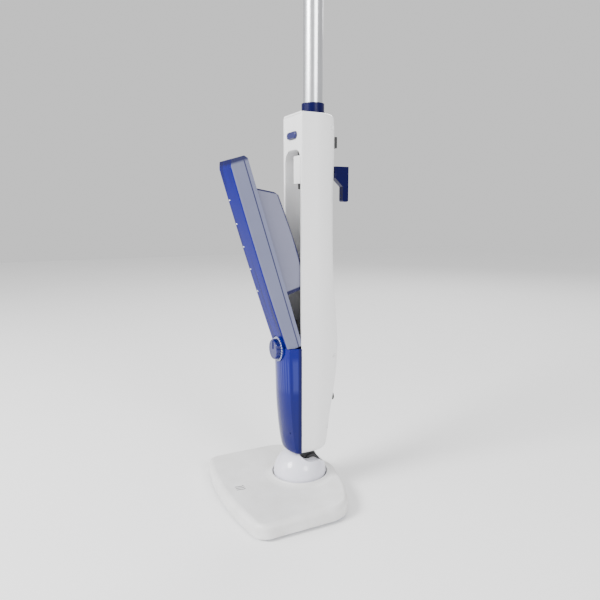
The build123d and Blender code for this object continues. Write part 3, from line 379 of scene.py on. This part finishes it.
# ---------------------------------------------------------------- pins, screws and metal pieces
# Hinge, lean and roll pins are ground steel, the screws are zinc plated, the boiler is die cast.
def metal(name, pale, deep, gloss, grain):
    """Bare or plated metal with a fine uneven grain."""
    finish = Finish(name)
    speck = finish.place.noise(grain, 4.0)
    finish.feed("Metallic", 1.0)
    finish.feed("Base Color", speck.mix(deep, pale))
    finish.feed("Roughness", gloss + speck * 0.2)
    finish.bump(speck, 0.1, 0.0003)
    return finish.material


dress(metal("plated_steel", (0.62, 0.62, 0.60), (0.42, 0.42, 0.41), 0.25, 500.0),
      "hinge_pin", "lean_pin", "roll_pins", "lean_washers", "cover_screws", "panel_screws", "head_screws",
      "handle_screws", "latch_spring", "heating_element", "hook_clip")
dress(metal("cast_aluminium", (0.50, 0.50, 0.50), (0.36, 0.36, 0.36), 0.45, 250.0), "boiler")


# ---------------------------------------------------------------- hoses, seals and rubber
# Hoses and seals are translucent silicone, the gland and pump mounts are black rubber and the
# palm pad on the grip is soft-touch rubber with a fine diamond knurl.
def rubber(name, pale, deep, gloss):
    """Rubber or silicone with a slight dusty bloom."""
    finish = Finish(name, IOR=1.45, Sheen_Weight=0.15)
    bloom = finish.place.noise(120.0, 4.0)
    finish.feed("Base Color", bloom.mix(deep, pale))
    finish.feed("Roughness", gloss + bloom * 0.15)
    finish.bump(finish.place.noise(900.0, 2.0), 0.12, 0.0003)
    return finish.material


dress(rubber("silicone", (0.66, 0.66, 0.62), (0.52, 0.52, 0.50), 0.4),
      "inlet_hose", "feed_hose", "steam_pipe", "dock_seal", "tank_valve_ring")
dress(rubber("black_rubber", (0.03, 0.03, 0.03), (0.012, 0.012, 0.012), 0.6), "cord_gland", "pump_mounts")

palm_finish = Finish("palm_rubber", IOR=1.45, Sheen_Weight=0.2)
palm_x, palm_y, palm_z = palm_finish.place.split()
knurl_rate = 1800.0
diamond = ((palm_x + palm_z) * knurl_rate).math("SINE") * ((palm_x - palm_z) * knurl_rate).math("SINE")
palm_bloom = palm_finish.place.noise(90.0, 3.0)
palm_finish.feed("Base Color", palm_bloom.mix((0.012, 0.013, 0.07), (0.024, 0.026, 0.12)))
palm_finish.feed("Roughness", 0.55 + palm_bloom * 0.15)
palm_finish.bump(diamond, 0.5, 0.0006)
dress(palm_finish.material, "grip_insert")

# ---------------------------------------------------------------- wiring board and hook tape
# The board is green laminate with darker copper runs; the tape under the head is woven hooks.
board_finish = Finish("board_laminate", IOR=1.5)
board_cell = board_finish.place.node("TexVoronoi", {"feature": "DISTANCE_TO_EDGE"},
                                     {"Vector": board_finish.place, "Scale": 260.0})
board_finish.feed("Base Color", board_cell.above(0.08, 0.03).mix((0.12, 0.26, 0.10), (0.015, 0.10, 0.03)))
board_finish.feed("Roughness", 0.35 + board_cell * 0.2)
board_finish.bump(board_cell.above(0.08, 0.03), 0.2, 0.0002)
dress(board_finish.material, "control_board")

tape_finish = Finish("hook_tape", Sheen_Weight=0.4)
tape_x, tape_y = tape_finish.place.split()[:2]
hook_rate = 5000.0
tape_weave = (tape_x * hook_rate).math("SINE") * (tape_y * hook_rate).math("SINE")
tape_finish.feed("Base Color", tape_weave.above(0.0, 0.5).mix((0.02, 0.02, 0.022), (0.09, 0.09, 0.095)))
tape_finish.feed("Roughness", 0.8 + tape_weave * 0.1)
tape_finish.bump(tape_weave, 0.6, 0.0006)
dress(tape_finish.material, "pad_grip_strips")


# ---------------------------------------------------------------- microfibre pad
# The pad is looped microfibre sewn over thin foam in lengthwise channels.  Its rim is bound by
# a folded tape, and the hooks under the head hold it flat, so it is pressed level on top.
def pick(piece, test):
    """Select the edit-mode vertices whose place passes the test."""
    cage = bmesh.from_edit_mesh(piece.data)
    for vertex in cage.verts:
        vertex.select = test(vertex.co)
    cage.select_flush(True)
    cage.select_flush(False)
    bmesh.update_edit_mesh(piece.data)


def apply_modifier(piece, kind, **settings):
    """Add a modifier and apply it at once."""
    modifier = piece.modifiers.new(kind.lower(), kind)
    for key, value in settings.items():
        setattr(modifier, key, value)
    bpy.ops.object.modifier_apply(modifier=modifier.name)


pad_low, pad_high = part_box("mop_pad")
pad_width = pad_high.x - pad_low.x
front_bow = 0.0125
rear_radius, front_radius = 0.037, 0.016
pad_side_y = pad_low.y + front_bow
bpy.ops.object.select_all(action="DESELECT")
bpy.ops.mesh.primitive_plane_add(size=1.0)
pad = bpy.context.object
pad.name = "microfibre_pad"
bpy.ops.object.mode_set(mode="EDIT")
bpy.ops.mesh.select_all(action="SELECT")
bpy.ops.transform.resize(value=(pad_width, pad_high.y - pad_side_y, 1.0))
bpy.ops.transform.translate(value=(0.0, (pad_high.y + pad_side_y) / 2, 0.0))
for end_y, radius in ((pad_high.y, rear_radius), (pad_side_y, front_radius)):
    pick(pad, lambda co: abs(co.x) > pad_width / 2 - 0.001 and abs(co.y - end_y) < 0.001)
    bpy.ops.mesh.bevel(offset=radius, segments=10, affect="VERTICES")
cuts = [0.025 * step for step in range(-3, 4)]
for cut in cuts:
    bpy.ops.mesh.select_all(action="SELECT")
    bpy.ops.mesh.bisect(plane_co=(cut, 0.0, 0.0), plane_no=(1.0, 0.0, 0.0))
for cut in cuts:
    pick(pad, lambda co: abs(co.x - cut) < 0.001 and co.y < pad_side_y + 0.001)
    bow = front_bow * (1.0 - (2.0 * cut / pad_width) ** 2)
    bpy.ops.transform.translate(value=(0.0, -bow, 0.0))
bpy.ops.mesh.select_all(action="SELECT")
rise = (0.0, 0.0, pad_high.z - pad_low.z)
bpy.ops.mesh.extrude_region_move(TRANSFORM_OT_translate={"value": rise})
bpy.ops.mesh.select_all(action="SELECT")
bpy.ops.mesh.normals_make_consistent(inside=False)
bpy.ops.mesh.select_all(action="DESELECT")
bpy.ops.mesh.edges_select_sharp(sharpness=math.radians(60.0))
bpy.ops.mesh.bevel(offset=0.0013, segments=3)
bpy.ops.object.mode_set(mode="OBJECT")
apply_modifier(pad, "REMESH", mode="VOXEL", voxel_size=0.0012)
apply_modifier(pad, "SHRINKWRAP", target=frame["nodes"]["mop_pad"])
apply_modifier(pad, "SMOOTH", factor=0.5, iterations=2)

pile_clouds = bpy.data.textures.new("pile_clouds", "CLOUDS")
pile_clouds.noise_scale = 0.0035
apply_modifier(pad, "DISPLACE", texture=pile_clouds, texture_coords="LOCAL",
               strength=0.0007, mid_level=0.55)
channel_pitch, channel_depth, channel_half_width = 0.0206, 0.0011, 0.0012
binding_height, binding_depth, binding_half_width = 0.0022, 0.0006, 0.0006
below_hooks = 0.00005
facings = [vertex.normal.copy() for vertex in pad.data.vertices]
for vertex, facing in zip(pad.data.vertices, facings):
    from_seam = (vertex.co.x / channel_pitch) % 1.0
    from_seam = min(from_seam, 1.0 - from_seam) * channel_pitch
    if facing.z < -0.5:
        vertex.co.z += channel_depth * math.exp(-(from_seam / channel_half_width) ** 2)
    if abs(facing.z) < 0.6:
        pinch = math.exp(-((vertex.co.z - binding_height) / binding_half_width) ** 2)
        vertex.co.xy -= facing.xy * binding_depth * pinch
    vertex.co.z = min(max(vertex.co.z, pad_low.z), pad_high.z - below_hooks)
bpy.ops.object.shade_smooth()

pad_finish = Finish("microfibre_loops", Sheen_Weight=0.6, Sheen_Roughness=0.5)
pad_x = pad_finish.place.split()[0]
loop_cell = pad_finish.place.node("TexVoronoi", {"feature": "F1"},
                                  {"Vector": pad_finish.place, "Scale": 900.0})
soil = pad_finish.place.noise(22.0, 5.0).above(0.6, 0.15)
stripe = (pad_x * (math.pi / channel_pitch)).math("SINE").above(0.3, 0.25)
pad_tone = loop_cell.above(0.45, 0.35).mix((0.60, 0.61, 0.64), (0.38, 0.39, 0.43))
pad_tone = (stripe * 0.45).mix(pad_tone, (0.20, 0.26, 0.46))
pad_tone = (soil * 0.25).mix(pad_tone, (0.33, 0.30, 0.26))
pad_finish.feed("Base Color", pad_tone)
pad_finish.feed("Roughness", 0.85 + loop_cell * 0.1)
pad_finish.bump(loop_cell, 0.8, 0.0008)
pad.data.materials.clear()
pad.data.materials.append(pad_finish.material)
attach(pad, "head")
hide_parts("mop_pad")

# ---------------------------------------------------------------- printed steam sign
# A small generic steam sign, three rising wisps, is pad-printed in grey near the head's front.
sign_x, sign_y, sign_z = 0.006, -0.104, 0.02204
wisp_pitch, wisp_length, wisp_half_width = 0.0042, 0.012, 0.0007
wisps = []
for column in (-1, 0, 1):
    bpy.ops.object.select_all(action="DESELECT")
    bpy.ops.curve.primitive_bezier_curve_add(radius=wisp_length / 2)
    wisp = bpy.context.object
    wisp.data.bevel_depth = wisp_half_width
    wisp.data.resolution_u = 10
    bpy.ops.object.convert(target="MESH")
    bpy.ops.object.mode_set(mode="EDIT")
    bpy.ops.mesh.select_all(action="SELECT")
    bpy.ops.transform.resize(value=(1.0, 1.0, 0.2))
    bpy.ops.transform.rotate(value=math.radians(90.0), orient_axis="Z", center_override=(0.0, 0.0, 0.0))
    bpy.ops.transform.translate(value=(sign_x + column * wisp_pitch, sign_y, sign_z))
    bpy.ops.object.mode_set(mode="OBJECT")
    wisps.append(wisp)
bpy.ops.object.select_all(action="DESELECT")
for wisp in wisps:
    wisp.select_set(True)
bpy.context.view_layer.objects.active = wisps[0]
bpy.ops.object.join()
steam_sign = bpy.context.object
steam_sign.name = "steam_sign"
bpy.ops.object.shade_smooth()

sign_finish = Finish("grey_print", IOR=1.5)
sign_speck = sign_finish.place.noise(2500.0, 2.0)
sign_finish.feed("Base Color", sign_speck.mix((0.03, 0.03, 0.035), (0.07, 0.07, 0.075)))
sign_finish.feed("Roughness", 0.45 + sign_speck * 0.15)
sign_finish.bump(sign_speck, 0.1, 0.0001)
steam_sign.data.materials.clear()
steam_sign.data.materials.append(sign_finish.material)
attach(steam_sign, "head")
